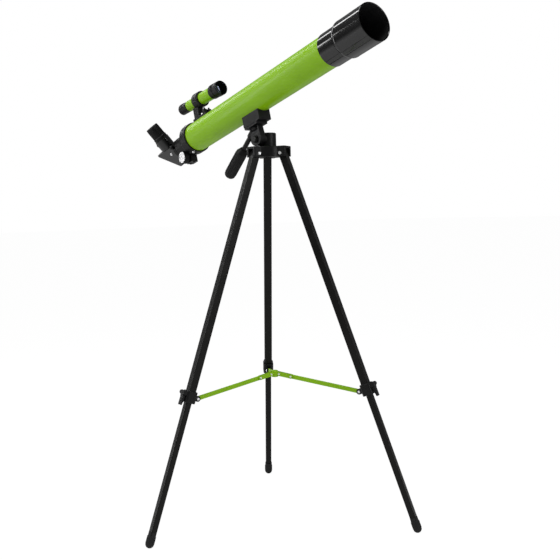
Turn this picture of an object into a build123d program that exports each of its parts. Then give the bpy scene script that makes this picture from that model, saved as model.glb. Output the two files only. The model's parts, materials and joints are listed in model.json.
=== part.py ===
from build123d import *
import os
from math import atan2, copysign, cos, degrees, pi, radians, sin, tan

# A small refracting telescope on a folding field tripod, in millimetres.
# +Z is up, the floor is z = 0, and at rest the telescope looks along +X and upwards.
# Every piece is drawn in the plain frame of its own group, then put in place by keep().

# ---- where things stand -------------------------------------------------------------
AXIS_X = 7.136              # the tripod's axis, from the middle of the object's outline
AXIS_Y = 54.835
LEG_ANGLES = {"a": 27, "b": 147, "c": -93}
LEG_TILT = 19.8             # degrees from upright when the legs are open
LEG_FOLD = 16.6             # degrees that a leg swings in
PIVOT_RADIUS = 26.3         # leg pivots from the tripod's axis
GAP = 0.3                   # side play between pieces that swing past each other
FIT = 0.06                  # radial play of a running fit

# ---- legs ----------------------------------------------------------------------------
UPPER_DEPTH, UPPER_WIDTH, UPPER_WALL = 12.0, 13.0, 1.0
LOWER_DEPTH, LOWER_WIDTH, LOWER_WALL = 9.4, 10.4, 0.9
LOCK_REACH = 404.0          # pivot to the middle of the lock, along the leg
LOCK_SIZE = 18.0
LOCK_HEIGHT = 19.0
LOWER_TOP = LOCK_REACH - 85.0
FOOT_RADIUS = 6.75
FOOT_REACH = 635.5          # pivot to the centre of the foot's round tip
FOOT_LENGTH = 18.0
FOOT_WEAR = 0.6             # depth of the flat that the tip stands on
PIN_R = 2.0
LEVER_HINGE = (12.5, 5.0)   # out from the leg's axis, up from the lock's middle
LEVER_LENGTH = 20.0
EAR_X = -14.0               # brace pivot, inwards from the leg's axis

# ---- brace ---------------------------------------------------------------------------
BAR_HEIGHT, BAR_THICK = 7.0, 2.2
HUB_RADIUS = 5.5
HUB_HEIGHT = 11.0
HUB_RISE = 241.5            # height of the brace's middle
SPOKE_REACH = 30.0          # brace axis to the arm pivots

# ---- crown and head ------------------------------------------------------------------
CROWN_REACH, CROWN_CHEEK, CROWN_CORE = 35.0, 12.5, 25.5
CROWN_HEIGHT, CROWN_TOP_PLATE = 17.0, 3.5
PIN_ABOVE_CROWN_FOOT = 5.4
POST_RADIUS, POST_HEIGHT = 13.0, 22.0
TILT_HEIGHT_ON_POST = 11.5
HEAD_SIDE = 20.0            # the telescope stands this far to the right of the axis
ARM_THICK, ARM_WIDTH = 10.0, 28.0
TUBE_ABOVE_TILT = 64.0
ELEVATION = 14.7            # the telescope's upward angle at rest
HANDLE_ROOT = (-16.5, 10.0)
HANDLE_DROP = 43.0
HANDLE_ROD_R, HANDLE_GRIP_R = 4.0, 9.5
HANDLE_GRIP_START, HANDLE_LENGTH = 42.0, 97.0

# ---- telescope, measured back from the front rim ---------------------------------------
TILT_STATION = 301.0        # the tilt axis lies below this station
SHIELD_R, SHIELD_WALL, SHIELD_LENGTH = 29.0, 1.5, 62.0
CELL_R, CELL_REAR = 26.3, 95.0
SPIGOT_R = 25.6
TUBE_R, TUBE_WALL = 25.0, 0.9
TUBE_FRONT, TUBE_REAR = 84.0, 486.0
RING_R, RING_FRONT, RING_REAR = 27.5, 472.0, 491.0
NECK_R, NECK_REAR = 17.0, 526.0
DRAW_R, DRAW_WALL = 14.5, 2.2
DRAW_FRONT, DRAW_REAR = 430.0, 535.0
PINION_STATION, PINION_DROP = 502.0, 28.5
PINION_TEETH, MODULE = 12, 1.0
PINION_BOX_FOOT = 36.6      # below the telescope's axis
PINION_BOX_WIDTH, PINION_BOX_LENGTH = 14.0, 18.0
SHAFT_R, HUB_FOOT = 2.0, 7.4
KNOB_R, KNOB_INNER, KNOB_FACE = 11.0, 11.5, 20.5
DIAGONAL_STATION = 560.0
DIAGONAL_TURN = 37.0        # degrees that the eyepiece leans to the right
BARREL_R = 12.2
EYEPIECE_TOP = 61.0
SADDLE_LENGTH, SADDLE_WIDTH, SADDLE_FOOT = 46.0, 24.0, 39.5
SADDLE_STATION = 296.0
FINDER_STATION, FINDER_HEIGHT, FINDER_DROOP = 440.0, 58.0, 3.5

# ---- frames --------------------------------------------------------------------------
PIVOT_HEIGHT = FOOT_REACH * cos(radians(LEG_TILT)) + FOOT_RADIUS - FOOT_WEAR
CROWN_FOOT = PIVOT_HEIGHT - PIN_ABOVE_CROWN_FOOT
POST_FOOT = CROWN_FOOT + CROWN_HEIGHT + GAP
TILT_HEIGHT = POST_FOOT + TILT_HEIGHT_ON_POST
STAND = Plane((AXIS_X, AXIS_Y, 0))
HEAD = Plane((AXIS_X, AXIS_Y - HEAD_SIDE, TILT_HEIGHT), x_dir=(1, 0, 0), z_dir=(0, 0, 1))


def outward(angle):
    return Vector(cos(radians(angle)), sin(radians(angle)), 0)


def leg_frame(angle):
    """x out of the leg, y along its pivot pin, z up the leg; the origin is the pivot."""
    out, up = outward(angle), Vector(0, 0, 1)
    tilt = radians(LEG_TILT)
    pivot = Vector(AXIS_X, AXIS_Y, PIVOT_HEIGHT) + out * PIVOT_RADIUS
    return Plane(pivot, x_dir=out * cos(tilt) + up * sin(tilt), z_dir=up * cos(tilt) - out * sin(tilt))


def ear_point():
    """The brace pivot of an open leg, as distance from the tripod's axis and height."""
    tilt = radians(LEG_TILT)
    distance = PIVOT_RADIUS + EAR_X * cos(tilt) + LOCK_REACH * sin(tilt)
    return distance, PIVOT_HEIGHT + EAR_X * sin(tilt) - LOCK_REACH * cos(tilt)


EAR_RADIUS, EAR_HEIGHT = ear_point()
BRACE_SLOPE = degrees(atan2(HUB_RISE - EAR_HEIGHT, EAR_RADIUS))
ARM_LENGTH = (EAR_RADIUS - SPOKE_REACH) / cos(radians(BRACE_SLOPE))


def arm_frame(angle):
    """x along the arm towards the middle, y up, z along the pivot; the origin is the ear."""
    out, up = outward(angle), Vector(0, 0, 1)
    slope = radians(BRACE_SLOPE)
    ear = Vector(AXIS_X, AXIS_Y, EAR_HEIGHT) + out * EAR_RADIUS
    return Plane(ear, x_dir=up * sin(slope) - out * cos(slope), z_dir=up.cross(out))


def scope_frame():
    """z forwards along the tube, x up, y to the right; the origin is the front rim."""
    lift = radians(ELEVATION)
    forward, above = Vector(cos(lift), 0, sin(lift)), Vector(-sin(lift), 0, cos(lift))
    rim = HEAD.origin + forward * TILT_STATION + above * TUBE_ABOVE_TILT
    return Plane(rim, x_dir=above, z_dir=forward)


SCOPE = scope_frame()


def scope_part(station, height, lean=0, turn=0):
    """A frame on the telescope: lean tips its nose down, turn rolls it to the right."""
    place = Location(SCOPE.location) * Location((height, 0, -station), (0, -lean, turn))
    return Plane(place)


FINDER = scope_part(FINDER_STATION, FINDER_HEIGHT, lean=FINDER_DROOP)
DIAGONAL = scope_part(DIAGONAL_STATION, 0, turn=DIAGONAL_TURN)
HANDLE = Plane(HEAD.origin + Vector(HANDLE_ROOT[0], 0, HANDLE_ROOT[1]), x_dir=(0, -1, 0),
               z_dir=(-cos(radians(HANDLE_DROP)), 0, -sin(radians(HANDLE_DROP))))


def keep(piece, name, frame=STAND):
    """Puts a finished piece in place and writes it."""
    placed = piece.part.moved(frame.location)
    placed.label = name
    export_step(placed, f"parts/{name}.step")


os.makedirs("parts", exist_ok=True)


# ---- legs ----------------------------------------------------------------------------
def upper_leg(letter, angle):
    """An aluminium box tube with a plugged, rounded top that turns on the crown's pin."""
    end = -LOCK_REACH - 6
    half = UPPER_DEPTH / 2
    with BuildPart() as leg:
        with BuildSketch(Plane.XZ.offset(-UPPER_WIDTH / 2)):
            with BuildLine():
                Line((-half, end), (-half, 0))
                ThreePointArc((-half, 0), (0, half), (half, 0))
                Line((half, 0), (half, end))
                Line((half, end), (-half, end))
            make_face()
        extrude(amount=UPPER_WIDTH)
        with BuildSketch(Plane.XY.offset(end)):
            RectangleRounded(UPPER_DEPTH - 2 * UPPER_WALL, UPPER_WIDTH - 2 * UPPER_WALL, 0.6)
        extrude(amount=-end - 14, mode=Mode.SUBTRACT)
        with BuildSketch(Plane.XZ.offset(-UPPER_WIDTH)):
            Circle(PIN_R + FIT)
        extrude(amount=2 * UPPER_WIDTH, mode=Mode.SUBTRACT)
        fillet(leg.edges().filter_by(Axis.Z).group_by(SortBy.LENGTH)[-1], 1.0)
    keep(leg, f"upper_leg_{letter}", leg_frame(angle))


def lower_leg(letter, angle):
    """The thinner tube that slides in the upper one and ends in the foot."""
    length = FOOT_REACH - 2 - LOWER_TOP
    with BuildPart() as leg:
        with BuildSketch(Plane.XY.offset(-LOWER_TOP)):
            RectangleRounded(LOWER_DEPTH, LOWER_WIDTH, 1.2)
            RectangleRounded(LOWER_DEPTH - 2 * LOWER_WALL, LOWER_WIDTH - 2 * LOWER_WALL, 0.5,
                             mode=Mode.SUBTRACT)
        extrude(amount=-length)
    keep(leg, f"lower_leg_{letter}", leg_frame(angle))


def foot(letter, angle):
    """A rubber boot over the end of the lower leg, with a round tip worn flat."""
    tilt = radians(LEG_TILT)
    up = Vector(sin(tilt), 0, cos(tilt))
    centre = Vector(0, 0, -FOOT_REACH)
    with BuildPart() as boot:
        with BuildSketch(Plane.XZ):
            with BuildLine():
                Polyline((0, -FOOT_REACH - FOOT_RADIUS), (0, FOOT_LENGTH - FOOT_REACH),
                         (6.3, FOOT_LENGTH - FOOT_REACH), (6.3, FOOT_LENGTH - 5 - FOOT_REACH),
                         (FOOT_RADIUS, FOOT_LENGTH - 7 - FOOT_REACH), (FOOT_RADIUS, -FOOT_REACH))
                RadiusArc((FOOT_RADIUS, -FOOT_REACH), (0, -FOOT_REACH - FOOT_RADIUS), FOOT_RADIUS)
            make_face()
        revolve(axis=Axis.Z)
        with BuildSketch(Plane.XY.offset(2 - FOOT_REACH)):
            RectangleRounded(LOWER_DEPTH, LOWER_WIDTH, 1.2)
        extrude(amount=FOOT_LENGTH, mode=Mode.SUBTRACT)
        split(bisect_by=Plane(centre - up * (FOOT_RADIUS - FOOT_WEAR), z_dir=up), keep=Keep.TOP)
    keep(boot, f"foot_{letter}", leg_frame(angle))


def leg_lock(letter, angle):
    """The plastic clamp at the foot of the upper leg, with ears for the brace and the lever."""
    foot_of_lock = -LOCK_REACH - LOCK_HEIGHT / 2
    hinge_x, hinge_up = LEVER_HINGE
    with BuildPart() as lock:
        with BuildSketch(Plane.XY.offset(foot_of_lock)):
            RectangleRounded(LOCK_SIZE, LOCK_SIZE, 3.5)
        extrude(amount=LOCK_HEIGHT)
        fillet(lock.faces().filter_by(Axis.Z).edges(), 1.2)
        for side in (-1, 1):                                     # brace ears
            with BuildSketch(Plane.XZ.offset(side * (BAR_THICK / 2 + GAP))):
                with Locations((EAR_X / 2 - 4, -LOCK_REACH)):
                    Rectangle(-EAR_X - 8, 9)
                with Locations((EAR_X, -LOCK_REACH)):
                    Circle(4.5)
            extrude(amount=side * 2.4)
        for side in (-1, 1):                                     # lever ears
            with BuildSketch(Plane.XZ.offset(side * 4.4)):
                with Locations((hinge_x - 3, hinge_up - LOCK_REACH)):
                    Rectangle(6, 7)
                with Locations((hinge_x, hinge_up - LOCK_REACH)):
                    Circle(3.5)
            extrude(amount=side * 2.4)
        with BuildSketch(Plane.XY.offset(foot_of_lock)):         # the lower leg's guide
            RectangleRounded(LOWER_DEPTH + 2 * GAP, LOWER_WIDTH + 2 * GAP, 1.3)
        extrude(amount=LOCK_HEIGHT, mode=Mode.SUBTRACT)
        with BuildSketch(Plane.XY.offset(-LOCK_REACH - 6)):      # the upper leg's seat
            RectangleRounded(UPPER_DEPTH, UPPER_WIDTH, 1.0)
        extrude(amount=LOCK_HEIGHT, mode=Mode.SUBTRACT)
        with BuildSketch(Plane.XZ.offset(-10)):
            with Locations((EAR_X, -LOCK_REACH)):
                Circle(1.5)
        extrude(amount=20, mode=Mode.SUBTRACT)
        with BuildSketch(Plane.XZ.offset(-10)):
            with Locations((hinge_x, hinge_up - LOCK_REACH)):
                Circle(1.2)
        extrude(amount=20, mode=Mode.SUBTRACT)
    keep(lock, f"leg_lock_{letter}", leg_frame(angle))


def lock_lever(letter, angle):
    """The flip lever: a cam on its own axle stubs, with a tongue hanging down to pull out."""
    hinge_x, hinge_up = LEVER_HINGE
    middle = hinge_up - LOCK_REACH
    with BuildPart() as lever:
        with BuildSketch(Plane.XZ.offset(-4.4 + GAP)):
            with Locations((hinge_x, middle)):
                Circle(3.0)
            with BuildLine():
                Polyline((hinge_x - 1.5, middle), (hinge_x - 1.8, middle - LEVER_LENGTH + 6),
                         (hinge_x - 0.2, middle - LEVER_LENGTH), (hinge_x + 1.9, middle - LEVER_LENGTH),
                         (hinge_x + 1.6, middle - 8), (hinge_x + 3.0, middle), close=True)
            make_face()
        extrude(amount=8.8 - 2 * GAP)
        with BuildSketch(Plane.XZ.offset(-6.9)):
            with Locations((hinge_x, middle)):
                Circle(1.2 - FIT)
        extrude(amount=13.8)
    keep(lever, f"lock_lever_{letter}", leg_frame(angle))


def ear_pin(letter, angle):
    """The rivet that the brace arm turns on, with two domed heads."""
    with BuildPart() as pin:
        with BuildSketch(Plane.XZ.offset(-4.1)):
            with Locations((EAR_X, -LOCK_REACH)):
                Circle(1.5)
        extrude(amount=8.2)
        for side in (-1, 1):
            with BuildSketch(Plane.XZ.offset(side * (BAR_THICK / 2 + GAP + 2.4))):
                with Locations((EAR_X, -LOCK_REACH)):
                    Circle(2.5)
            extrude(amount=side * 1.0, taper=25)
    keep(pin, f"ear_pin_{letter}", leg_frame(angle))


def brace_arm(letter, angle):
    """A flat green bar from the lock's ears to the slotted spoke in the middle."""
    with BuildPart() as arm:
        with BuildSketch(Plane.XY.offset(-BAR_THICK / 2)):
            with Locations((ARM_LENGTH / 2, 0)):
                SlotCenterToCenter(ARM_LENGTH, BAR_HEIGHT)
            Circle(1.5 + FIT, mode=Mode.SUBTRACT)
            with Locations((ARM_LENGTH, 0)):
                Circle(1.2, mode=Mode.SUBTRACT)
        extrude(amount=BAR_THICK)
        chamfer(arm.faces().filter_by(Plane.XY).edges().filter_by(GeomType.LINE), 0.4)
    keep(arm, f"brace_arm_{letter}", arm_frame(angle))


def brace_hub():
    """The green middle piece: a core and three spokes, each slotted for an arm."""
    slope = tan(radians(BRACE_SLOPE))
    half_slot = BAR_THICK / 2 + GAP
    cheek = 1.3
    with BuildPart() as hub:
        with BuildSketch(Plane.XY.offset(HUB_RISE - HUB_HEIGHT / 2 - 1)):
            Circle(HUB_RADIUS)
        extrude(amount=HUB_HEIGHT)
        fillet(hub.edges().group_by(Axis.Z)[-1], 1.5)
        fillet(hub.edges().group_by(Axis.Z)[0], 1.0)
        for angle in LEG_ANGLES.values():
            side_plane = Plane((0, 0, HUB_RISE), x_dir=outward(angle),
                               z_dir=outward(angle).cross(Vector(0, 0, 1)))
            for side in (-1, 1):
                with BuildSketch(side_plane.offset(side * half_slot)):
                    with BuildLine():
                        Polyline((2, BAR_HEIGHT / 2), (SPOKE_REACH, BAR_HEIGHT / 2 - SPOKE_REACH * slope),
                                 (SPOKE_REACH, -BAR_HEIGHT / 2 - SPOKE_REACH * slope),
                                 (2, -BAR_HEIGHT / 2), close=True)
                    make_face()
                    with Locations((SPOKE_REACH, -SPOKE_REACH * slope)):
                        Circle(BAR_HEIGHT / 2)
                extrude(amount=side * cheek)
    keep(hub, "brace_hub")


def hub_rivets():
    """Round rivet heads on the outside of the spokes' cheeks, near the core."""
    slope = tan(radians(BRACE_SLOPE))
    reach = 9.0
    with BuildPart() as rivets:
        for angle in LEG_ANGLES.values():
            plane = Plane((0, 0, HUB_RISE), x_dir=outward(angle),
                          z_dir=outward(angle).cross(Vector(0, 0, 1)))
            for side in (-1, 1):
                with BuildSketch(plane.offset(side * (BAR_THICK / 2 + GAP + 1.3))):
                    for at in (reach, SPOKE_REACH):
                        with Locations((at, -at * slope)):
                            Circle(1.8)
                extrude(amount=side * 0.9, taper=20)
    keep(rivets, "hub_rivets")


# ---- crown ---------------------------------------------------------------------------
def leg_crown():
    """The hub of the legs: a three-armed plastic block with three slots for the leg tops."""
    with BuildPart() as crown:
        with BuildSketch(Plane.XY.offset(CROWN_FOOT)):
            Circle(CROWN_CORE)
            for angle in LEG_ANGLES.values():
                with Locations(Location((0, 0, 0), (0, 0, angle))):
                    Rectangle(CROWN_REACH, 2 * CROWN_CHEEK, align=(Align.MIN, Align.CENTER))
        extrude(amount=CROWN_HEIGHT)
        fillet(crown.edges().filter_by(Axis.Z), 2.0)
        fillet(crown.faces().sort_by(Axis.Z)[-1].edges(), 1.2)
        for angle in LEG_ANGLES.values():
            along = Plane((0, 0, CROWN_FOOT), x_dir=outward(angle), z_dir=(0, 0, 1))
            with BuildSketch(along):
                with Locations((17.5 + 15, 0)):
                    Rectangle(30, UPPER_WIDTH + 2 * GAP)
            extrude(amount=CROWN_HEIGHT - CROWN_TOP_PLATE, mode=Mode.SUBTRACT)
            pin_line = Plane(outward(angle) * PIVOT_RADIUS + Vector(0, 0, PIVOT_HEIGHT),
                             z_dir=outward(angle + 90))
            with BuildSketch(pin_line.offset(-CROWN_CHEEK - 5)):
                Circle(PIN_R)
            extrude(amount=2 * CROWN_CHEEK + 10, mode=Mode.SUBTRACT)
        with BuildSketch(Plane.XY.offset(CROWN_FOOT)):
            RegularPolygon(7.6, 6)
        extrude(amount=5, mode=Mode.SUBTRACT)
        with BuildSketch(Plane.XY.offset(CROWN_FOOT)):
            Circle(4.0)
        extrude(amount=CROWN_HEIGHT, mode=Mode.SUBTRACT)
    keep(crown, "leg_crown")


def leg_pins():
    """Three steel pins with bright domed heads, one through each slot of the crown."""
    with BuildPart() as pins:
        for angle in LEG_ANGLES.values():
            line = Plane(outward(angle) * PIVOT_RADIUS + Vector(0, 0, PIVOT_HEIGHT),
                         z_dir=outward(angle + 90))
            with BuildSketch(line.offset(-CROWN_CHEEK)):
                Circle(PIN_R)
            extrude(amount=2 * CROWN_CHEEK)
            for side in (-1, 1):
                with BuildSketch(line.offset(side * CROWN_CHEEK)):
                    Circle(2.8)
                extrude(amount=side * 1.2, taper=20)
    keep(pins, "leg_pins")


def pan_bolt():
    """The bolt that the post turns on, with its lock nut in the top of the post."""
    nut_foot = POST_FOOT + POST_HEIGHT - 7
    with BuildPart() as bolt:
        with BuildSketch(Plane.XY.offset(CROWN_FOOT + 0.8)):
            RegularPolygon(7.4, 6)
        extrude(amount=4.2)
        with BuildSketch(Plane.XY.offset(CROWN_FOOT + 4)):
            Circle(4.0)
        extrude(amount=POST_FOOT + POST_HEIGHT - 1 - CROWN_FOOT - 4)
        with BuildSketch(Plane.XY.offset(nut_foot + GAP)):
            RegularPolygon(6.8, 6)
        extrude(amount=4.5)
    keep(bolt, "pan_bolt")


def pan_post():
    """The round post that pans on the crown, with a flat boss for the tilt joint."""
    with BuildPart() as post:
        with BuildSketch(Plane.XY.offset(POST_FOOT)):
            Circle(POST_RADIUS)
        extrude(amount=POST_HEIGHT)
        chamfer(post.edges().group_by(Axis.Z)[-1], 1.2)
        with BuildSketch(Plane.XZ):
            with Locations((0, TILT_HEIGHT)):
                Circle(9.5)
        extrude(amount=HEAD_SIDE - ARM_THICK / 2 - GAP)
        with BuildSketch(Plane.XY.offset(POST_FOOT)):
            Circle(4.0 + FIT)
        extrude(amount=POST_HEIGHT, mode=Mode.SUBTRACT)
        with BuildSketch(Plane.XY.offset(POST_FOOT + POST_HEIGHT - 7)):
            Circle(7.6)
        extrude(amount=8, mode=Mode.SUBTRACT)
        with BuildSketch(Plane.XZ.offset(6.5)):
            with Locations((0, TILT_HEIGHT)):
                Circle(3.0)
        extrude(amount=12, mode=Mode.SUBTRACT)
    keep(post, "pan_post")


def tilt_bolt():
    """The bolt that joins the tilting arm to the post, with a washer under its round head."""
    with BuildPart() as bolt:
        with BuildSketch(Plane.XZ.offset(-HEAD_SIDE + 6.5)):
            Circle(3.0)
        extrude(amount=HEAD_SIDE - 6.5 + ARM_THICK / 2 + 1.5)
        with BuildSketch(Plane.XZ.offset(ARM_THICK / 2 + 0.2)):
            Circle(6.0)
        extrude(amount=1.0)
        with BuildSketch(Plane.XZ.offset(ARM_THICK / 2 + 1.2)):
            Circle(4.8)
        extrude(amount=2.6, taper=15)
    keep(bolt, "tilt_bolt", HEAD)


def tilt_arm():
    """The tilting arm: a thick plate up from the tilt bolt, with a platform under the saddle."""
    top = TUBE_ABOVE_TILT - SADDLE_FOOT
    lift = Location((0, 0, 0), (0, -ELEVATION, 0))
    half = ARM_WIDTH / 2
    with BuildPart() as arm:
        with BuildSketch(Plane.XZ.offset(-ARM_THICK / 2)):
            with BuildLine():
                Polyline((half, 0), (half - 3, top), (-half + 3, top), (-half, 0))
                RadiusArc((-half, 0), (half, 0), -half * 1.04)
            make_face()
        extrude(amount=ARM_THICK)
        fillet(arm.edges().filter_by(Axis.Y), 2.0)
        with BuildSketch(Plane.XY.offset(top - 3.5)):
            Rectangle(36, 22)
        extrude(amount=3.5)
        fillet(arm.edges().filter_by(Axis.Z), 1.5)
    with BuildPart() as whole:
        add(arm.part.moved(lift))
        root = Plane((HANDLE_ROOT[0], 0, HANDLE_ROOT[1]), x_dir=(0, -1, 0),
                     z_dir=(-cos(radians(HANDLE_DROP)), 0, -sin(radians(HANDLE_DROP))))
        with BuildSketch(root.offset(-4)):                       # the handle's boss
            Circle(5.6)
        extrude(amount=11)
        with BuildSketch(root):
            Circle(HANDLE_ROD_R + FIT)
        extrude(amount=12, mode=Mode.SUBTRACT)
        side_on = Plane(lift * Plane.XZ.offset(-2 * ARM_THICK).location)
        with BuildSketch(side_on):                               # window of the screw's wheel
            with Locations((0, top - 7.25)):
                Rectangle(18, 6.5)
        extrude(amount=4 * ARM_THICK, mode=Mode.SUBTRACT)
        with BuildSketch(Plane(lift * Location((0, 0, top - 5)))):
            Circle(3.0 + FIT)
        extrude(amount=6, mode=Mode.SUBTRACT)
        with BuildSketch(side_on):
            Circle(3.0 + FIT)
        extrude(amount=4 * ARM_THICK, mode=Mode.SUBTRACT)
    keep(whole, "tilt_arm", HEAD)


def pan_handle():
    """The handle's steel rod, and the plastic grip that it turns with to lock the tilt."""
    with BuildPart() as rod:
        with BuildSketch(Plane.XY):
            Circle(HANDLE_ROD_R)
        extrude(amount=HANDLE_GRIP_START + 17)
    keep(rod, "handle_rod", HANDLE)
    with BuildPart() as grip:
        with BuildSketch(Plane.XZ):
            with BuildLine():
                Polyline((HANDLE_ROD_R, HANDLE_GRIP_START - 8), (5.5, HANDLE_GRIP_START - 8),
                         (HANDLE_GRIP_R, HANDLE_GRIP_START), (HANDLE_GRIP_R, HANDLE_LENGTH - 6))
                RadiusArc((HANDLE_GRIP_R, HANDLE_LENGTH - 6), (HANDLE_GRIP_R - 6, HANDLE_LENGTH), -6)
                Polyline((HANDLE_GRIP_R - 6, HANDLE_LENGTH), (0, HANDLE_LENGTH),
                         (0, HANDLE_GRIP_START + 17.2), (HANDLE_ROD_R, HANDLE_GRIP_START + 17.2),
                         (HANDLE_ROD_R, HANDLE_GRIP_START - 8))
            make_face()
        revolve(axis=Axis.Z)
    keep(grip, "handle_grip", HANDLE)


# ---- telescope -----------------------------------------------------------------------
def turned(name, *points, frame=SCOPE):
    """A lathe piece: points are (radius, station), stations counted back from the rim."""
    with BuildPart() as piece:
        with BuildSketch(Plane.XZ):
            Polygon(*[(radius, -station) for radius, station in points], align=None)
        revolve(axis=Axis.Z)
    keep(piece, name, frame)


def dew_shield():
    """The glossy hood in front of the lens; it pulls forwards off the cell's spigot."""
    inside = SHIELD_R - SHIELD_WALL
    rear = SHIELD_LENGTH - GAP
    with BuildPart() as shield:
        with BuildSketch(Plane.XZ):
            with BuildLine():
                Polyline((inside + 0.7, 0), (SHIELD_R - 0.4, 0), (SHIELD_R, -0.6), (SHIELD_R, 8 - rear))
                RadiusArc((SHIELD_R, 8 - rear), (SHIELD_R - 2.4, -rear), 9)
                Polyline((SHIELD_R - 2.4, -rear), (SPIGOT_R + FIT, -rear), (SPIGOT_R + FIT, 11 - rear),
                         (inside, 14 - rear), (inside, -1.2), (inside + 0.7, 0))
            make_face()
        revolve(axis=Axis.Z)
    keep(shield, "dew_shield", SCOPE)


def lens_side(radius, rim, bulge):
    """Half the outline of a ball-shaped glass surface, between its rim and the axis."""
    ball = (radius ** 2 + bulge ** 2) / (2 * bulge)
    middle = rim + bulge - ball
    start = degrees(atan2(rim - middle, radius))
    CenterArc((0, middle), abs(ball), start, copysign(90, bulge) - start)


def lens(name, radius, front_station, front_bulge, rear_station, rear_bulge, frame=SCOPE):
    """A round lens: the stations are those of its rim, the bulges stand out at its middle."""
    with BuildPart() as glass:
        with BuildSketch(Plane.XZ):
            with BuildLine():
                lens_side(radius, -front_station, front_bulge)
                lens_side(radius, -rear_station, -rear_bulge)
                Line((0, front_bulge - front_station), (0, -rear_bulge - rear_station))
                Line((radius, -rear_station), (radius, -front_station))
            make_face()
        revolve(axis=Axis.Z)
    keep(glass, name, frame)


def tube_baffles():
    """Two cupped black stops that trap stray light inside the tube."""
    inside = TUBE_R - TUBE_WALL
    with BuildPart() as baffles:
        for station, hole in ((200, 18.5), (340, 15.0)):
            with BuildSketch(Plane.XZ):
                Polygon((inside, -station), (inside, -station - 8), (inside - 0.8, -station - 8),
                        (inside - 0.8, -station - 1), (hole, -station - 1), (hole, -station), align=None)
            revolve(axis=Axis.Z)
    keep(baffles, "tube_baffles", SCOPE)


def focuser_body():
    """The rear casting: a ring over the tube, a neck for the draw tube and a pinion box."""
    box_foot = PINION_BOX_FOOT
    with BuildPart() as body:
        with BuildSketch(Plane.XZ):
            with BuildLine():
                Polyline((TUBE_R, -RING_FRONT), (RING_R - 0.8, -RING_FRONT),
                         (RING_R, -RING_FRONT - 0.8), (RING_R, -RING_REAR + 3))
                RadiusArc((RING_R, -RING_REAR + 3), (RING_R - 3, -RING_REAR), 3)
                Polyline((RING_R - 3, -RING_REAR), (NECK_R + 3, -RING_REAR - 1.5),
                         (NECK_R, -RING_REAR - 5), (NECK_R, -NECK_REAR + 1), (NECK_R - 1, -NECK_REAR),
                         (DRAW_R + FIT, -NECK_REAR), (DRAW_R + FIT, -TUBE_REAR),
                         (TUBE_R, -TUBE_REAR), (TUBE_R, -RING_FRONT))
            make_face()
        revolve(axis=Axis.Z)
        with BuildSketch(Plane.YZ.offset(-box_foot)):            # the pinion box
            with Locations((0, -PINION_STATION)):
                RectangleRounded(PINION_BOX_WIDTH, PINION_BOX_LENGTH, 2)
        extrude(amount=box_foot - NECK_R + 2)
        with BuildSketch(Plane.XY.offset(-NECK_REAR)):           # the rack's slot
            with Locations((-19, 0)):
                Rectangle(9.6, 7)
        extrude(amount=NECK_REAR - RING_FRONT - 1, mode=Mode.SUBTRACT)
        with BuildSketch(Plane.XY.offset(-TUBE_REAR)):
            Circle(TUBE_R)
        extrude(amount=20, mode=Mode.SUBTRACT)
        with BuildSketch(Plane.XY.offset(-NECK_REAR)):
            Circle(DRAW_R + FIT)
        extrude(amount=40, mode=Mode.SUBTRACT)
        with BuildSketch(Plane.XZ.offset(-5)):                   # the pinion's room
            with Locations((-PINION_DROP, -PINION_STATION)):
                Circle(MODULE * (PINION_TEETH / 2 + 1.4))
        extrude(amount=10, mode=Mode.SUBTRACT)
        with BuildSketch(Plane.XZ.offset(-30)):
            with Locations((-PINION_DROP, -PINION_STATION)):
                Circle(SHAFT_R + FIT)
        extrude(amount=60, mode=Mode.SUBTRACT)
    keep(body, "focuser_body", SCOPE)


def focuser_screws():
    """Three small screws that hold the rear casting on the tube."""
    with BuildPart() as screws:
        for turn in (40, 160, 280):
            out = Vector(cos(radians(turn)), sin(radians(turn)), 0)
            line = Plane(out * RING_R + Vector(0, 0, -RING_FRONT - 7), z_dir=out)
            with BuildSketch(line):
                Circle(2.4)
            extrude(amount=1.4, taper=18)
    keep(screws, "focuser_screws", SCOPE)


def rack():
    """The toothed rail under the draw tube."""
    pitch = pi * MODULE
    pitch_line = PINION_DROP - MODULE * PINION_TEETH / 2
    tip, root = pitch_line + MODULE * 0.85, pitch_line - MODULE * 1.15
    first, count = PINION_STATION - 16 * pitch, 21
    with BuildPart() as rail:
        with BuildSketch(Plane.XZ.offset(-2.7)):
            with BuildLine():
                Polyline((-root, -first + pitch), (-DRAW_R + 1, -first + pitch),
                         (-DRAW_R + 1, -first - count * pitch), (-root, -first - count * pitch), close=True)
            make_face()
            for tooth in range(count):
                centre = -first - tooth * pitch
                with BuildLine():
                    Polyline((-root, centre + 0.40 * pitch), (-tip, centre + 0.12 * pitch),
                             (-tip, centre - 0.12 * pitch), (-root, centre - 0.40 * pitch), close=True)
                make_face()
        extrude(amount=5.4)
        with BuildSketch(Plane.XY.offset(-DRAW_REAR)):
            Circle(DRAW_R)
        extrude(amount=DRAW_REAR - DRAW_FRONT, mode=Mode.SUBTRACT)
    keep(rail, "focus_rack", SCOPE)


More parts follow.
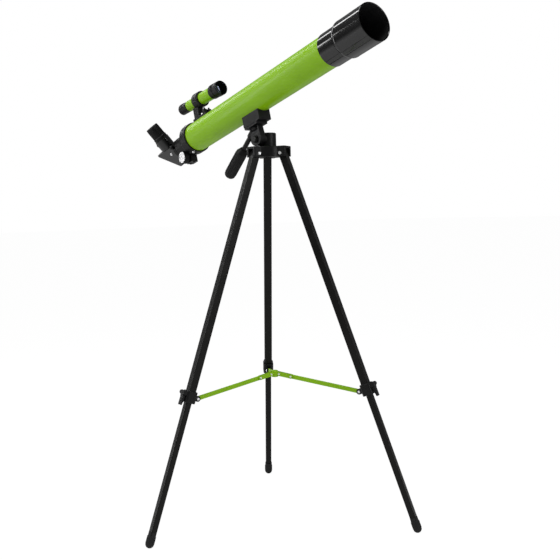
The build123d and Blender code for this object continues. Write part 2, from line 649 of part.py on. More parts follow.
def pinion():
    """The focus shaft with its toothed middle and the clip on its left end."""
    pitch_r = MODULE * PINION_TEETH / 2
    tip, root = pitch_r + MODULE * 0.85, pitch_r - MODULE * 1.2
    step = 2 * pi / PINION_TEETH
    left_end = PINION_BOX_WIDTH / 2 + 2.2
    with BuildPart() as shaft:
        with BuildSketch(Plane.XZ.offset(-2.6)):
            with Locations((-PINION_DROP, -PINION_STATION)):
                Circle(root)
            for tooth in range(PINION_TEETH):
                middle = step * (tooth + 0.5)
                with BuildLine():
                    outline = []
                    for radius, spread in ((root - 0.4, -0.33), (root, -0.33), (tip, -0.12),
                                           (tip, 0.12), (root, 0.33), (root - 0.4, 0.33)):
                        at = middle + spread * step
                        outline.append((-PINION_DROP + radius * cos(at),
                                        -PINION_STATION + radius * sin(at)))
                    Polyline(*outline, close=True)
                make_face()
        extrude(amount=5.2)
        with BuildSketch(Plane.XZ.offset(4 - KNOB_FACE)):
            with Locations((-PINION_DROP, -PINION_STATION)):
                Circle(SHAFT_R)
        extrude(amount=KNOB_FACE - 4 + left_end)
        with BuildSketch(Plane.XZ.offset(left_end - 1.8)):
            with Locations((-PINION_DROP, -PINION_STATION)):
                Circle(3.2)
        extrude(amount=1.2)
    keep(shaft, "focus_pinion", SCOPE)


def focus_knob():
    """The cupped black knob on the shaft's right end, and the bright disc in its face."""
    middle = (-PINION_DROP, -PINION_STATION)
    with BuildPart() as knob:
        with BuildSketch(Plane.XZ.offset(-HUB_FOOT)):
            with Locations(middle):
                Circle(4.0)
        extrude(amount=HUB_FOOT - KNOB_INNER)
        with BuildSketch(Plane.XZ.offset(-KNOB_INNER)):
            with Locations(middle):
                Circle(KNOB_R)
        extrude(amount=KNOB_INNER - KNOB_FACE)
        with BuildSketch(Plane.XZ.offset(1.2 - KNOB_FACE)):
            with Locations(middle):
                Circle(KNOB_R - 0.9)
        extrude(amount=-2, mode=Mode.SUBTRACT)
        with BuildSketch(Plane.XZ.offset(-HUB_FOOT)):
            with Locations(middle):
                Circle(SHAFT_R)
        extrude(amount=HUB_FOOT + 4 - KNOB_FACE, mode=Mode.SUBTRACT)
    keep(knob, "focus_knob", SCOPE)
    with BuildPart() as disc:
        with BuildSketch(Plane.XZ.offset(1.2 - KNOB_FACE)):
            with Locations(middle):
                Circle(KNOB_R - 0.9)
        extrude(amount=-1.4, taper=8)
    keep(disc, "knob_disc", SCOPE)


def pinion_cover():
    """The plate under the pinion box, with two screws' heads moulded to it."""
    with BuildPart() as cover:
        with BuildSketch(Plane.YZ.offset(-PINION_BOX_FOOT)):
            with Locations((0, -PINION_STATION)):
                RectangleRounded(PINION_BOX_WIDTH, PINION_BOX_LENGTH, 2)
        extrude(amount=-1.6)
        with BuildSketch(Plane.YZ.offset(-PINION_BOX_FOOT - 1.6)):
            with Locations((0, -PINION_STATION - 5.5), (0, -PINION_STATION + 5.5)):
                Circle(2.2)
        extrude(amount=-1.2, taper=15)
    keep(cover, "pinion_cover", SCOPE)


def draw_tube():
    """The sliding tube of the focuser, with a collar behind that clamps the diagonal."""
    inside = BARREL_R + FIT
    with BuildPart() as tube:
        with BuildSketch(Plane.XZ):
            Polygon((inside, -DRAW_FRONT), (DRAW_R, -DRAW_FRONT), (DRAW_R, -NECK_REAR - 1),
                    (NECK_R - 0.6, -NECK_REAR - 1), (NECK_R - 0.6, -DRAW_REAR + 0.8),
                    (NECK_R - 1.4, -DRAW_REAR), (inside, -DRAW_REAR), align=None)
        revolve(axis=Axis.Z)
        with BuildSketch(Plane.XZ.offset(-NECK_R - 1)):          # the clamp screw's thread
            with Locations((0, (-NECK_REAR - 1 - DRAW_REAR) / 2)):
                Circle(1.5 + FIT)
        extrude(amount=NECK_R - 1, mode=Mode.SUBTRACT)
    keep(tube, "draw_tube", SCOPE)


def thumbscrew(name, frame):
    """A knurled screw: its tip is at the frame's origin and its head stands out along z."""
    with BuildPart() as screw:
        with BuildSketch(Plane.XY):
            Circle(1.5)
        extrude(amount=6)
        with BuildSketch(Plane.XY.offset(5.0)):
            Circle(3.4)
        extrude(amount=4.5)
        fillet(screw.edges().group_by(Axis.Z)[-1], 0.7)
    keep(screw, name, frame)


def diagonal():
    """The star diagonal: a folded housing with a mirror at 45 degrees and two sockets."""
    front, half, top = DIAGONAL_STATION - DRAW_REAR - GAP, 13.5, 13.0
    mirror_normal = Vector(1, 0, 1)
    with BuildPart() as cavity:
        with BuildSketch(Plane.XY.offset(front + 20)):
            Circle(10.5)
        extrude(amount=-front - 45)
        with BuildSketch(Plane.YZ.offset(top + 25)):
            Circle(10.5)
        extrude(amount=-top - 45)
        split(bisect_by=Plane((0, 0, 0), z_dir=mirror_normal), keep=Keep.TOP)
    with BuildPart() as housing:
        with BuildSketch(Plane.XZ.offset(-half)):
            with BuildLine():
                Polyline((top, front), (top, -26), (9, -26), (-27, 9), (-27, 15), (-20, front), close=True)
            make_face()
        extrude(amount=2 * half)
        chamfer(housing.edges().filter_by(Axis.Y).sort_by(Axis.X)[0:1], 1.5)
        fillet(housing.faces().filter_by(Axis.Y).edges(), 1.2)
        with BuildSketch(Plane.XY.offset(front)):
            Circle(BARREL_R)
        extrude(amount=18)
        with BuildSketch(Plane.YZ.offset(top)):
            Circle(14.0)
        extrude(amount=20)
        add(cavity.part, mode=Mode.SUBTRACT)
        with BuildSketch(Plane.YZ.offset(top)):
            Circle(BARREL_R + FIT)
        extrude(amount=20, mode=Mode.SUBTRACT)
        with BuildSketch(Plane((0, 0, 0), x_dir=(0, 1, 0), z_dir=mirror_normal)):
            Rectangle(23, 33)
        extrude(amount=-2.4, mode=Mode.SUBTRACT)
        with BuildSketch(Plane.XY.offset(-16)):                  # the eyepiece screw's thread
            with Locations((top + 13, 0)):
                Circle(1.5 + FIT)
        extrude(amount=5, mode=Mode.SUBTRACT)
    keep(housing, "diagonal_body", DIAGONAL)
    with BuildPart() as mirror:
        with BuildSketch(Plane((0, 0, 0), x_dir=(0, 1, 0), z_dir=mirror_normal)):
            Rectangle(23, 33)
        extrude(amount=-2.4)
    keep(mirror, "diagonal_mirror", DIAGONAL)


def eyepiece():
    """The eyepiece: a barrel in the socket, a wider fluted body and a shallow eye cup."""
    foot = 14.0
    shoulder = 33.0 + GAP
    with BuildPart() as body:
        with BuildSketch(Plane.XY):
            Polygon((foot, 10.2), (foot, BARREL_R), (shoulder, BARREL_R), (shoulder, 13.0),
                    (shoulder + 5, 13.0), (shoulder + 6, 12.0), (EYEPIECE_TOP - 1, 12.0),
                    (EYEPIECE_TOP, 11.2), (EYEPIECE_TOP, 8.5), (EYEPIECE_TOP - 4, 6.5),
                    (EYEPIECE_TOP - 8, 6.5), (EYEPIECE_TOP - 8, 10.2), align=None)
        revolve(axis=Axis.X)
    keep(body, "eyepiece_body", DIAGONAL)
    with BuildPart() as lenses:
        for low, high in ((foot + 3, foot + 5.2), (EYEPIECE_TOP - 13, EYEPIECE_TOP - 10.8)):
            with BuildSketch(Plane((0, 0, 0), x_dir=(0, 1, 0), z_dir=(0, 0, -1))):
                with BuildLine():
                    lens_side(10.2, high, 1.2)
                    Polyline((10.2, high), (10.2, low), (0, low), (0, high + 1.2))
                make_face()
            revolve(axis=Axis.X)
    keep(lenses, "eyepiece_lenses", DIAGONAL)


def saddle():
    """The block under the tube that the mount's screw holds, hollowed to fit the tube."""
    foot = -SADDLE_FOOT
    with BuildPart() as block:
        with BuildSketch(Plane.YZ.offset(foot)):
            with Locations((0, -SADDLE_STATION)):
                Rectangle(SADDLE_WIDTH, SADDLE_LENGTH)
        extrude(amount=SADDLE_FOOT - 12)
        with BuildSketch(Plane.XY.offset(-SADDLE_STATION - SADDLE_LENGTH)):
            Circle(TUBE_R)
        extrude(amount=2 * SADDLE_LENGTH, mode=Mode.SUBTRACT)
        fillet(block.edges().filter_by(Axis.X), 1.2)
        with BuildSketch(Plane.YZ.offset(foot)):
            with Locations((0, -TILT_STATION)):
                Circle(3.0)
        extrude(amount=9, mode=Mode.SUBTRACT)
    keep(block, "saddle_block", SCOPE)


def saddle_screw():
    """The quarter-inch screw of the platform with its knurled wheel."""
    top = TUBE_ABOVE_TILT - SADDLE_FOOT
    with BuildPart() as screw:
        with BuildSketch(Plane.XY.offset(top - 9.9)):
            Circle(8.2)
        extrude(amount=5.4)
        with BuildSketch(Plane.XY.offset(top - 5)):
            Circle(3.0)
        extrude(amount=13)
    keep(screw, "saddle_screw", Plane(Location(HEAD.location) * Location((0, 0, 0), (0, -ELEVATION, 0))))


# ---- finder --------------------------------------------------------------------------
def finder():
    """The finder: a stepped green tube, a black hood in front and a sliding ocular behind."""
    def lathe(name, *points):
        with BuildPart() as piece:
            with BuildSketch(Plane.XZ):
                Polygon(*points, align=None)
            revolve(axis=Axis.Z)
        keep(piece, name, FINDER)

    lathe("finder_tube", (8.7, -38), (9.7, -38), (9.7, -4), (10.7, -4), (10.7, 44), (9.8, 44),
          (9.8, -3), (8.7, -3))
    lathe("finder_hood", (10.7, 40), (12.1, 40), (12.1, 50.5), (11.3, 51.3), (11.3, 53), (12.6, 54),
          (12.6, 64.4), (12.2, 65), (11.4, 65), (11.4, 56), (10.2, 52), (9.8, 51), (9.8, 44), (10.7, 44))
    lathe("finder_ocular", (6.0, -64), (8.6, -64), (9.4, -63), (9.4, -40.5), (8.6, -40.5),
          (8.6, -26), (7.6, -26), (7.6, -40), (6.0, -44))
    lens("finder_lens", 9.8, -50, 1.6, -48, 0.4, FINDER)


def finder_bracket():
    """The finder's stand: a foot shaped to the tube, a post and a ring round the finder."""
    rear, front = 466.0, 421.0
    with BuildPart() as stand:
        with BuildSketch(Plane.YZ.offset(20)):
            with Locations((0, -(rear + front) / 2)):
                RectangleRounded(17, rear - front, 4)
        extrude(amount=8.2)
        with BuildSketch(Plane.YZ.offset(24)):
            with Locations((0, -455)):
                RectangleRounded(12, 18, 3)
        extrude(amount=24)
    ring_place = Location((FINDER_HEIGHT, 0, -FINDER_STATION), (0, -FINDER_DROOP, 0))
    with BuildPart() as ring:
        with BuildSketch(Plane.XY.offset(-12)):
            Circle(14.0)
        extrude(amount=18)
        fillet(ring.edges(), 1.5)
    with BuildPart() as bores:
        with BuildSketch(Plane.XY.offset(-34)):
            Circle(9.7)
        extrude(amount=30)
        with BuildSketch(Plane.XY.offset(-4)):
            Circle(10.7)
        extrude(amount=20)
    with BuildPart() as bracket:
        add(stand.part)
        add(ring.part.moved(ring_place))
        add(bores.part.moved(ring_place), mode=Mode.SUBTRACT)
        with BuildSketch(Plane.XY.offset(-rear - 5)):
            Circle(TUBE_R)
        extrude(amount=rear - front + 10, mode=Mode.SUBTRACT)
        with BuildSketch(Plane.YZ.offset(20)):
            with Locations((-4.6, -429), (4.6, -429)):
                Circle(1.6)
        extrude(amount=20, mode=Mode.SUBTRACT)
    keep(bracket, "finder_bracket", SCOPE)


def finder_nuts():
    """Two studs from the tube with the thumb nuts that hold the finder's stand."""
    with BuildPart() as nuts:
        with BuildSketch(Plane.YZ.offset(25.2)):
            with Locations((-4.6, -429), (4.6, -429)):
                Circle(1.6)
        extrude(amount=13)
        with BuildSketch(Plane.YZ.offset(28.2)):
            with Locations((-4.6, -429), (4.6, -429)):
                Circle(4.2)
        extrude(amount=7)
        chamfer(nuts.edges().group_by(Axis.X)[-3], 0.6)
    keep(nuts, "finder_nuts", SCOPE)


for letter, angle in LEG_ANGLES.items():
    upper_leg(letter, angle)
    lower_leg(letter, angle)
    foot(letter, angle)
    leg_lock(letter, angle)
    lock_lever(letter, angle)
    ear_pin(letter, angle)
    brace_arm(letter, angle)
brace_hub()
hub_rivets()
leg_crown()
leg_pins()
pan_bolt()
pan_post()
tilt_bolt()
tilt_arm()
pan_handle()
saddle()
saddle_screw()
INSIDE = TUBE_R - TUBE_WALL
turned("main_tube", (INSIDE, TUBE_FRONT), (TUBE_R, TUBE_FRONT), (TUBE_R, TUBE_REAR), (INSIDE, TUBE_REAR))
turned("objective_cell", (22.8, 52), (SPIGOT_R, 52), (SPIGOT_R, SHIELD_LENGTH), (CELL_R - 0.5, SHIELD_LENGTH),
       (CELL_R, SHIELD_LENGTH + 0.5), (CELL_R, CELL_REAR - 1), (CELL_R - 0.5, CELL_REAR), (TUBE_R, CELL_REAR),
       (TUBE_R, TUBE_FRONT), (21.8, TUBE_FRONT), (21.8, 75.3), (22.8, 75.3))
turned("lens_ring", (21.6, 64), (22.8, 64), (22.8, 67.9), (21.9, 67.9))
dew_shield()
lens("crown_lens", 22.8, 68.2, 1.8, 70.6, 1.8)
lens("flint_lens", 22.8, 70.8, -1.8, 75.2, 0.6)
tube_baffles()
focuser_body()
focuser_screws()
rack()
pinion()
focus_knob()
pinion_cover()
draw_tube()
thumbscrew("diagonal_screw", Plane(Location(SCOPE.location)
                                   * Location((0, 12.6, -NECK_REAR - 5), (-90, 0, 0))))
diagonal()
thumbscrew("eyepiece_screw", Plane(Location(DIAGONAL.location) * Location((26, 0, -12.5), (180, 0, 0))))
eyepiece()
finder()
finder_bracket()
finder_nuts()
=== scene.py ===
import json
from math import pi, radians

import bmesh
import bpy
from mathutils import Matrix, Vector


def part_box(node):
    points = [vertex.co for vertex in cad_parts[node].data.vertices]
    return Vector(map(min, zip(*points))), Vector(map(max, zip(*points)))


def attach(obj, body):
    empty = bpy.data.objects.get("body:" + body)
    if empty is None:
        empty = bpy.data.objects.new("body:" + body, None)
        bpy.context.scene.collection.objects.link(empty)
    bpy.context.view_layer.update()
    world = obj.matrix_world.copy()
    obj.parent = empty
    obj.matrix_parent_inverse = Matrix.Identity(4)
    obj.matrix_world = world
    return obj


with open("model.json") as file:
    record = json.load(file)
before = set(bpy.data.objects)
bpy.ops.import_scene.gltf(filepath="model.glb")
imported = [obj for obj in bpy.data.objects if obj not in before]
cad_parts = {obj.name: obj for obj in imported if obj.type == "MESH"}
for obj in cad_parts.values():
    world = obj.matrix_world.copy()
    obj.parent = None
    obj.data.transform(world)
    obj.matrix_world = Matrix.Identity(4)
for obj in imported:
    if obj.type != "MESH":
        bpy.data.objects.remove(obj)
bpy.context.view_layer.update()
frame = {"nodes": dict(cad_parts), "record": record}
joints = {joint["name"]: joint for joint in frame["record"]["behaviour"]["joints"]}
slots = {part["node"]: part["material_slot"] for part in frame["record"]["subparts"]}


# Every finish on the instrument has the same three layers: a colour that drifts a little over
# the piece, a gloss that drifts with handling, and a fine skin that breaks up reflections.
# Sizes of the drift and the skin are in cycles per metre of the object.
def surface(name, dark, light, gloss, drift, skin, depth, metal=0.0, coat=0.0, sheen=0.5):
    finish = bpy.data.materials.new(name)
    finish.use_nodes = True
    nodes, links = finish.node_tree.nodes, finish.node_tree.links
    shader = nodes["Principled BSDF"]
    shader.inputs["Metallic"].default_value = metal
    shader.inputs["Coat Weight"].default_value = coat
    shader.inputs["Specular IOR Level"].default_value = sheen
    shader.inputs["Coat Roughness"].default_value = 0.04
    place = nodes.new("ShaderNodeTexCoord")
    cloud = nodes.new("ShaderNodeTexNoise")
    cloud.inputs["Scale"].default_value = drift
    cloud.inputs["Detail"].default_value = 5.0
    cloud.inputs["Roughness"].default_value = 0.62
    links.new(place.outputs["Object"], cloud.inputs["Vector"])
    tint = nodes.new("ShaderNodeValToRGB")
    tint.color_ramp.elements[0].position = 0.32
    tint.color_ramp.elements[0].color = (*dark, 1)
    tint.color_ramp.elements[1].position = 0.68
    tint.color_ramp.elements[1].color = (*light, 1)
    links.new(cloud.outputs["Fac"], tint.inputs["Fac"])
    links.new(tint.outputs["Color"], shader.inputs["Base Color"])
    handled = nodes.new("ShaderNodeMapRange")
    handled.inputs["From Min"].default_value = 0.3
    handled.inputs["From Max"].default_value = 0.7
    handled.inputs["To Min"].default_value = gloss[0]
    handled.inputs["To Max"].default_value = gloss[1]
    links.new(cloud.outputs["Fac"], handled.inputs["Value"])
    links.new(handled.outputs["Result"], shader.inputs["Roughness"])
    grain = nodes.new("ShaderNodeTexNoise")
    grain.inputs["Scale"].default_value = skin
    grain.inputs["Detail"].default_value = 2.0
    links.new(place.outputs["Object"], grain.inputs["Vector"])
    relief = nodes.new("ShaderNodeBump")
    relief.inputs["Strength"].default_value = depth
    relief.inputs["Distance"].default_value = 0.0004
    links.new(grain.outputs["Fac"], relief.inputs["Height"])
    links.new(relief.outputs["Normal"], shader.inputs["Normal"])
    return finish


finishes = {
    "green_paint": surface("green_lacquer", (0.235, 0.485, 0.0015), (0.265, 0.535, 0.0025),
                           (0.33, 0.40), 14, 500, 0.0015, coat=0.05, sheen=0.25),
    "gloss_black": surface("gloss_black", (0.0018, 0.0018, 0.002), (0.0035, 0.0035, 0.004),
                           (0.10, 0.16), 20, 700, 0.015, coat=0.35, sheen=0.4),
    "black_plastic": surface("satin_black", (0.0035, 0.0035, 0.0037), (0.0065, 0.0065, 0.0067),
                             (0.34, 0.46), 45, 2600, 0.12, sheen=0.22),
    "grip_plastic": surface("grip_black", (0.0035, 0.0035, 0.0037), (0.006, 0.006, 0.0062),
                            (0.40, 0.52), 45, 2200, 0.2, sheen=0.22),
    "leg_black": surface("anodised_black", (0.0032, 0.0030, 0.0026), (0.0058, 0.0055, 0.0048),
                         (0.30, 0.40), 30, 1500, 0.05, sheen=0.2),
    "foot_rubber": surface("foot_rubber", (0.008, 0.008, 0.0085), (0.014, 0.014, 0.0145),
                           (0.58, 0.74), 70, 1800, 0.35, sheen=0.3),
    "bright_steel": surface("bright_nickel", (0.82, 0.82, 0.83), (0.93, 0.93, 0.94),
                            (0.30, 0.42), 80, 1500, 0.04, metal=1.0),
    "plain_steel": surface("turned_steel", (0.36, 0.36, 0.37), (0.52, 0.52, 0.53),
                           (0.28, 0.42), 90, 2400, 0.15, metal=1.0),
    "mirror_glass": surface("silvered_mirror", (0.86, 0.87, 0.88), (0.90, 0.91, 0.91),
                            (0.02, 0.05), 30, 900, 0.01, metal=1.0),
}

# The lenses are clear glass with a thin blue-violet coating that shows at a slant.
# The coating is uneven by a hair over the glass.
glass = bpy.data.materials.new("coated_glass")
glass.use_nodes = True
glass_nodes, glass_links = glass.node_tree.nodes, glass.node_tree.links
glass_shader = glass_nodes["Principled BSDF"]
glass_shader.inputs["Transmission Weight"].default_value = 0.92
glass_shader.inputs["IOR"].default_value = 1.5
coating = glass_nodes.new("ShaderNodeTexNoise")
coating.inputs["Scale"].default_value = 40
coating_place = glass_nodes.new("ShaderNodeTexCoord")
glass_links.new(coating_place.outputs["Object"], coating.inputs["Vector"])
coating_tint = glass_nodes.new("ShaderNodeValToRGB")
coating_tint.color_ramp.elements[0].color = (0.62, 0.70, 0.98, 1)
coating_tint.color_ramp.elements[1].color = (0.74, 0.76, 1.0, 1)
glass_links.new(coating.outputs["Fac"], coating_tint.inputs["Fac"])
glass_links.new(coating_tint.outputs["Color"], glass_shader.inputs["Base Color"])
coating_gloss = glass_nodes.new("ShaderNodeMapRange")
coating_gloss.inputs["To Min"].default_value = 0.01
coating_gloss.inputs["To Max"].default_value = 0.04
glass_links.new(coating.outputs["Fac"], coating_gloss.inputs["Value"])
glass_links.new(coating_gloss.outputs["Result"], glass_shader.inputs["Roughness"])
finishes["lens_glass"] = glass

for node_name, node in frame["nodes"].items():
    for place in node.material_slots:
        place.material = finishes[slots[node_name]]


# Frames of the pieces that turn or slide, taken from the instrument's own pivots: z runs along
# the pivot and x along the given second direction.
def stood_on(point, along, across):
    z = Vector(along).normalized()
    y = z.cross(Vector(across)).normalized()
    x = y.cross(z)
    turn = Matrix((x, y, z)).transposed().to_4x4()
    return Matrix.Translation(Vector(point)) @ turn


# Grip ribs round every knob and screw head are the same thing in different sizes: slim bars,
# half sunk in the rim, spaced evenly round it. One tree makes them all.
rib_tree = bpy.data.node_groups.new("grip_ribs", "GeometryNodeTree")
rib_face = rib_tree.interface
count_socket = rib_face.new_socket("Ribs", in_out="INPUT", socket_type="NodeSocketInt")
rim_socket = rib_face.new_socket("Rim radius", in_out="INPUT", socket_type="NodeSocketFloat")
length_socket = rib_face.new_socket("Rib length", in_out="INPUT", socket_type="NodeSocketFloat")
width_socket = rib_face.new_socket("Rib radius", in_out="INPUT", socket_type="NodeSocketFloat")
finish_socket = rib_face.new_socket("Finish", in_out="INPUT", socket_type="NodeSocketMaterial")
rib_face.new_socket("Geometry", in_out="OUTPUT", socket_type="NodeSocketGeometry")
rib_in = rib_tree.nodes.new("NodeGroupInput")
rib_circle = rib_tree.nodes.new("GeometryNodeMeshCircle")
rib_bar = rib_tree.nodes.new("GeometryNodeMeshCylinder")
rib_bar.inputs["Vertices"].default_value = 10
rib_bar.inputs["Side Segments"].default_value = 1
rib_spread = rib_tree.nodes.new("GeometryNodeInstanceOnPoints")
rib_real = rib_tree.nodes.new("GeometryNodeRealizeInstances")
rib_paint = rib_tree.nodes.new("GeometryNodeSetMaterial")
rib_out = rib_tree.nodes.new("NodeGroupOutput")
rib_link = rib_tree.links.new
rib_link(rib_in.outputs["Ribs"], rib_circle.inputs["Vertices"])
rib_link(rib_in.outputs["Rim radius"], rib_circle.inputs["Radius"])
rib_link(rib_in.outputs["Rib radius"], rib_bar.inputs["Radius"])
rib_link(rib_in.outputs["Rib length"], rib_bar.inputs["Depth"])
rib_link(rib_circle.outputs["Mesh"], rib_spread.inputs["Points"])
rib_link(rib_bar.outputs["Mesh"], rib_spread.inputs["Instance"])
rib_link(rib_spread.outputs["Instances"], rib_real.inputs["Geometry"])
rib_link(rib_real.outputs["Geometry"], rib_paint.inputs["Geometry"])
rib_link(rib_in.outputs["Finish"], rib_paint.inputs["Material"])
rib_link(rib_paint.outputs["Geometry"], rib_out.inputs["Geometry"])


def grip_ribs(name, body, slot, rims):
    """rims: (place of the rim's middle, ribs, rim radius, rib length, rib radius), one mesh."""
    joined = bmesh.new()
    for place, ribs, rim, length, width in rims:
        blank = bpy.data.objects.new("blank", bpy.data.meshes.new("blank"))
        bpy.context.scene.collection.objects.link(blank)
        maker = blank.modifiers.new("ribs", "NODES")
        maker.node_group = rib_tree
        maker[count_socket.identifier] = ribs
        maker[rim_socket.identifier] = rim
        maker[length_socket.identifier] = length
        maker[width_socket.identifier] = width
        maker[finish_socket.identifier] = finishes[slot]
        bpy.context.view_layer.update()
        made = bpy.data.meshes.new_from_object(blank.evaluated_get(bpy.context.evaluated_depsgraph_get()))
        made.transform(place)
        joined.from_mesh(made)
        bpy.data.objects.remove(blank)
    mesh = bpy.data.meshes.new(name)
    joined.to_mesh(mesh)
    joined.free()
    return shown(name, mesh, body, slot)


def shown(name, mesh, body, slot):
    """Puts a finished mesh in the scene as a piece of the instrument."""
    mesh.materials.clear()
    mesh.materials.append(finishes[slot])
    piece = bpy.data.objects.new(name, mesh)
    bpy.context.scene.collection.objects.link(piece)
    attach(piece, body)
    return piece


def lathe(name, body, slot, place, outline, steps=64):
    """Turns a closed outline of (radius, height) points round z."""
    turned = bmesh.new()
    ring = [turned.verts.new((radius, 0, height)) for radius, height in outline]
    edges = [turned.edges.new((ring[i], ring[(i + 1) % len(ring)])) for i in range(len(ring))]
    bmesh.ops.spin(turned, geom=ring + edges, cent=(0, 0, 0), axis=(0, 0, 1), angle=2 * pi, steps=steps)
    bmesh.ops.remove_doubles(turned, verts=turned.verts, dist=1e-7)
    bmesh.ops.recalc_face_normals(turned, faces=turned.faces)
    turned.transform(place)
    mesh = bpy.data.meshes.new(name)
    turned.to_mesh(mesh)
    turned.free()
    for face in mesh.polygons:
        face.use_smooth = True
    piece = shown(name, mesh, body, slot)
    mesh.set_sharp_from_angle(angle=radians(35))
    return piece


def screw_head(name, body, slot, places, radius, rise):
    """Domed heads with a cross recess; each place has its origin on the seat and z outwards."""
    cross_length, cross_width = radius * 0.95, radius * 0.2
    made = bmesh.new()
    for place in places:
        head = bmesh.new()
        bmesh.ops.create_cone(head, segments=40, radius1=radius, radius2=radius * 0.72, depth=rise,
                              cap_ends=True, matrix=Matrix.Translation((0, 0, rise / 2)))
        top = max(head.faces, key=lambda face: face.calc_center_median().z)
        bmesh.ops.inset_individual(head, faces=[top], thickness=radius * 0.22, depth=rise * 0.18)
        for arm in (0, pi / 2):
            bar = bmesh.ops.create_cube(head, size=1)["verts"]
            bmesh.ops.scale(head, vec=(cross_length, cross_width, rise * 0.12), verts=bar)
            bmesh.ops.rotate(head, cent=(0, 0, 0), matrix=Matrix.Rotation(arm, 3, "Z"), verts=bar)
            bmesh.ops.translate(head, vec=(0, 0, rise * 1.14), verts=bar)
        head.transform(place)
        flat = bpy.data.meshes.new("head")
        head.to_mesh(flat)
        head.free()
        made.from_mesh(flat)
    mesh = bpy.data.meshes.new(name)
    made.to_mesh(mesh)
    made.free()
    return shown(name, mesh, body, slot)


# The dew shield. Its inside is lined with a dull dark sleeve that keeps stray light off the
# lens; the sleeve starts a little behind the open rim and rides with the shield.
shield = joints["shield_pull"]
mouth = next(mount for mount in frame["record"]["mounts"] if mount["name"] == "dew_shield_mouth")
mouth_place = stood_on(mouth["pos_m"], shield["axis"], (0, -1, 0))
lathe("shield_liner", "shield", "foot_rubber", mouth_place,
      [(0.0274, -0.0220), (0.0274, 0.0215), (0.0271, 0.0215), (0.0271, -0.0220)])

# The legs. Each rubber foot has short upright ribs round its boot, and each lever has four
# raised bars for the thumb across its tongue.
foot_middle, foot_rim = 0.6295, 0.00668
thumb_out, thumb_top, thumb_step = 0.01435, 0.4080, 0.0018
for letter in "abc":
    fold = joints["leg_fold_" + letter]
    up = Vector(joints["lower_slide_" + letter]["axis"])
    tangent = Vector(fold["axis"])
    out = tangent.cross(up)
    leg = stood_on(fold["pos_m"], up, out)
    grip_ribs("foot_ribs_" + letter, "lower_" + letter, "foot_rubber",
              [(leg @ Matrix.Translation((0, 0, -foot_middle)), 18, foot_rim, 0.011, 0.00042)])
    thumb_bars = bmesh.new()
    for step in range(4):
        bar = bmesh.new()
        bmesh.ops.create_cone(bar, segments=12, radius1=0.00045, radius2=0.00045, depth=0.0066,
                              cap_ends=True, matrix=Matrix.Rotation(pi / 2, 4, "X"))
        bar.transform(leg @ Matrix.Translation((thumb_out, 0, -thumb_top - thumb_step * step)))
        flat = bpy.data.meshes.new("bar")
        bar.to_mesh(flat)
        bar.free()
        thumb_bars.from_mesh(flat)
    thumb_mesh = bpy.data.meshes.new("lever_bars_" + letter)
    thumb_bars.to_mesh(thumb_mesh)
    thumb_bars.free()
    shown("lever_bars_" + letter, thumb_mesh, "lever_" + letter, "black_plastic")

# The head. The handle's grip is ribbed along its length, the saddle's wheel is knurled, and
# the tilt bolt's round head has a ribbed rim.
tilt = joints["tilt_swing"]
handle = joints["handle_twist"]
grip_middle = 0.0665        # from the twist joint, along the rod
handle_place = stood_on(handle["pos_m"], handle["axis"], (0, -1, 0))
grip_ribs("handle_ribs", "handle", "grip_plastic",
          [(handle_place @ Matrix.Translation((0, 0, grip_middle)), 22, 0.00945, 0.044, 0.0006)])
wheel = joints["saddle_screw_turn"]
wheel_place = stood_on(wheel["pos_m"], wheel["axis"], (0, -1, 0))
grip_ribs("wheel_knurl", "saddle_wheel", "black_plastic",
          [(wheel_place @ Matrix.Translation((0, 0, 0.0013)), 44, 0.0081, 0.0048, 0.00032)])
tilt_place = stood_on(tilt["pos_m"], (0, -1, 0), (0, 0, 1))
grip_ribs("tilt_knob_ribs", "pan", "leg_black",
          [(tilt_place @ Matrix.Translation((0, 0, 0.0067)), 26, 0.0059, 0.0010, 0.00035)])

# The focuser. The focus knob is ribbed all round, and so are the heads of the two thumbscrews
# that clamp the diagonal and the eyepiece.
pinion = joints["pinion_turn"]
pinion_place = stood_on(pinion["pos_m"], pinion["axis"], (0, 0, 1))
grip_ribs("focus_knob_ribs", "pinion", "black_plastic",
          [(pinion_place @ Matrix.Translation((0, 0, 0.016)), 40, 0.01092, 0.0084, 0.00042)])
for screw_joint, screw_body, screw_name in (("draw_screw_turn", "draw_screw", "draw_screw_knurl"),
                                            ("socket_screw_turn", "socket_screw", "socket_screw_knurl")):
    screw = joints[screw_joint]
    screw_place = stood_on(screw["pos_m"], screw["axis"], (0.3, 0.2, 1))
    grip_ribs(screw_name, screw_body, "black_plastic",
              [(screw_place @ Matrix.Translation((0, 0, 0.0071)), 22, 0.00336, 0.0034, 0.00028)])

# The eyepiece. Its body has fine upright ribs for the fingers between the collar and the cup.
eyepiece = joints["eyepiece_pull"]
swivel = joints["diagonal_swivel"]
eyepiece_place = stood_on(swivel["pos_m"], eyepiece["axis"], swivel["axis"])
grip_ribs("eyepiece_ribs", "eyepiece", "black_plastic",
          [(eyepiece_place @ Matrix.Translation((0, 0, 0.0485)), 36, 0.01192, 0.017, 0.00045)])

# The diagonal. A bright screw in its right cheek holds the two halves of the housing together.
cheek_place = stood_on(swivel["pos_m"], swivel["axis"], eyepiece["axis"])
cheek_turn = Matrix.Rotation(-pi / 2, 4, "X")
screw_head("cheek_screw", "diagonal", "bright_steel",
           [cheek_place @ Matrix.Translation((0.001, 0.0134, 0.011)) @ cheek_turn], 0.0026, 0.0011)

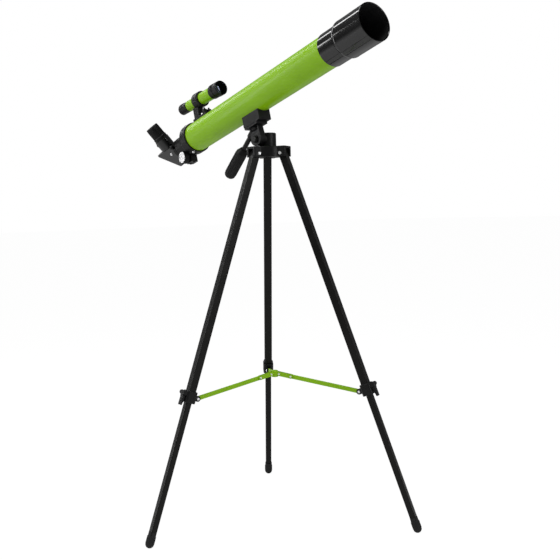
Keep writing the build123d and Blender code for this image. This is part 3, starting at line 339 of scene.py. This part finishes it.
# The finder. The hood's rear collar and the sliding ocular are knurled for turning, and a
# bright screw beside the thumb nuts holds the stand's foot down on the tube.
ocular = joints["ocular_focus"]
finder_axis = -Vector(ocular["axis"])
tube_low, tube_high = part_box("finder_tube")
finder_middle = (tube_low + tube_high) / 2
finder_place = stood_on(finder_middle, finder_axis, (0, -1, 0))
grip_ribs("finder_hood_knurl", "tilt", "black_plastic",
          [(finder_place @ Matrix.Translation((0, 0, 0.0422)), 44, 0.01200, 0.0085, 0.00040)])
grip_ribs("finder_ocular_knurl", "ocular", "black_plastic",
          [(finder_place @ Matrix.Translation((0, 0, -0.0595)), 30, 0.00932, 0.011, 0.00032)])

stand_up = Vector((0, -1, 0)).cross(Vector(shield["axis"]))
stand_place = stood_on(finder_middle, stand_up, shield["axis"])
screw_head("stand_screw", "tilt", "bright_steel",
           [stand_place @ Matrix.Translation((-0.001, -0.0048, -0.0297))], 0.0027, 0.0024)

# Floor and light: a broad pale floor that meets a pale room, one wide soft light from the upper
# left, a long strip on the right, a soft top light, and two slim lamps whose reflections run
# along the glossy dew shield.
floor_mesh = bpy.data.meshes.new("floor")
floor_half, floor_height = 30, -0.0004
floor_mesh.from_pydata([(-floor_half, -floor_half, floor_height), (floor_half, -floor_half, floor_height),
                        (floor_half, floor_half, floor_height), (-floor_half, floor_half, floor_height)],
                       [], [(0, 1, 2, 3)])
floor = bpy.data.objects.new("floor", floor_mesh)
bpy.context.scene.collection.objects.link(floor)
floor_finish = surface("pale_floor", (0.80, 0.80, 0.80), (0.82, 0.82, 0.82), (0.85, 0.9), 3, 300, 0.02)
floor_nodes, floor_links = floor_finish.node_tree.nodes, floor_finish.node_tree.links
paper = floor_nodes.new("ShaderNodeEmission")
paper.inputs["Strength"].default_value = 1.05
seen = floor_nodes.new("ShaderNodeLightPath")
paper_share = floor_nodes.new("ShaderNodeMath")
paper_share.operation = "MULTIPLY"
paper_share.inputs[1].default_value = 0.93
floor_links.new(seen.outputs["Is Camera Ray"], paper_share.inputs[0])
floor_blend = floor_nodes.new("ShaderNodeMixShader")
floor_links.new(paper_share.outputs["Value"], floor_blend.inputs["Fac"])
floor_links.new(floor_nodes["Principled BSDF"].outputs["BSDF"], floor_blend.inputs[1])
floor_links.new(paper.outputs["Emission"], floor_blend.inputs[2])
floor_links.new(floor_blend.outputs["Shader"], floor_nodes["Material Output"].inputs["Surface"])
floor_mesh.materials.append(floor_finish)

world = bpy.data.worlds.new("room")
bpy.context.scene.world = world
world.use_nodes = True
world.node_tree.nodes["Background"].inputs["Color"].default_value = (1, 1, 1, 1)
room = world.node_tree.nodes["Background"]
room_seen = world.node_tree.nodes.new("ShaderNodeLightPath")
room_strength = world.node_tree.nodes.new("ShaderNodeMapRange")
room_strength.inputs["To Min"].default_value = 0.18
room_strength.inputs["To Max"].default_value = 1.0
world.node_tree.links.new(room_seen.outputs["Is Camera Ray"], room_strength.inputs["Value"])
world.node_tree.links.new(room_strength.outputs["Result"], room.inputs["Strength"])


def soft_light(name, place, aim, width, height, watts):
    lamp = bpy.data.lights.new(name, "AREA")
    lamp.shape = "RECTANGLE"
    lamp.size, lamp.size_y = width, height
    lamp.energy = watts
    holder = bpy.data.objects.new(name, lamp)
    holder.location = place
    holder.rotation_euler = (Vector(aim) - Vector(place)).to_track_quat("-Z", "Y").to_euler()
    bpy.context.scene.collection.objects.link(holder)


soft_light("wide_left", (-0.6, -2.0, 1.9), (0, 0, 0.5), 1.6, 1.2, 24)
soft_light("strip_right", (2.0, 0.6, 1.3), (0, 0, 0.6), 0.4, 1.8, 16)
soft_light("top", (0.3, -0.2, 2.6), (0, 0, 0.5), 1.4, 1.4, 24)
shield_middle = (0.27, 0.035, 0.76)
soft_light("low_streak", (-1.33, -1.17, 0.7), shield_middle, 0.16, 1.2, 5)
soft_light("high_streak", (-1.56, -0.18, 1.55), shield_middle, 0.16, 1.2, 5)

# The camera stands to the right of and in front of the instrument, at about two thirds of its
# height, and looks almost level at the tripod with the eyepiece end on the left.
camera_data = bpy.data.cameras.new("camera")
camera_data.sensor_width = 36
camera_data.lens = 57.857
camera_data.clip_end = 100
camera = bpy.data.objects.new("camera", camera_data)
right = Vector((0.6129835, 0.7896051, -0.0278393))
above = Vector((-0.0436034, 0.0689897, 0.9966640))
back = right.cross(above)
camera.matrix_world = (Matrix.Translation((1.1909017, -0.8437497, 0.5109124))
                       @ Matrix((right, above, back)).transposed().to_4x4())
bpy.context.scene.collection.objects.link(camera)
bpy.context.scene.camera = camera
bpy.context.scene.view_settings.view_transform = "Standard"
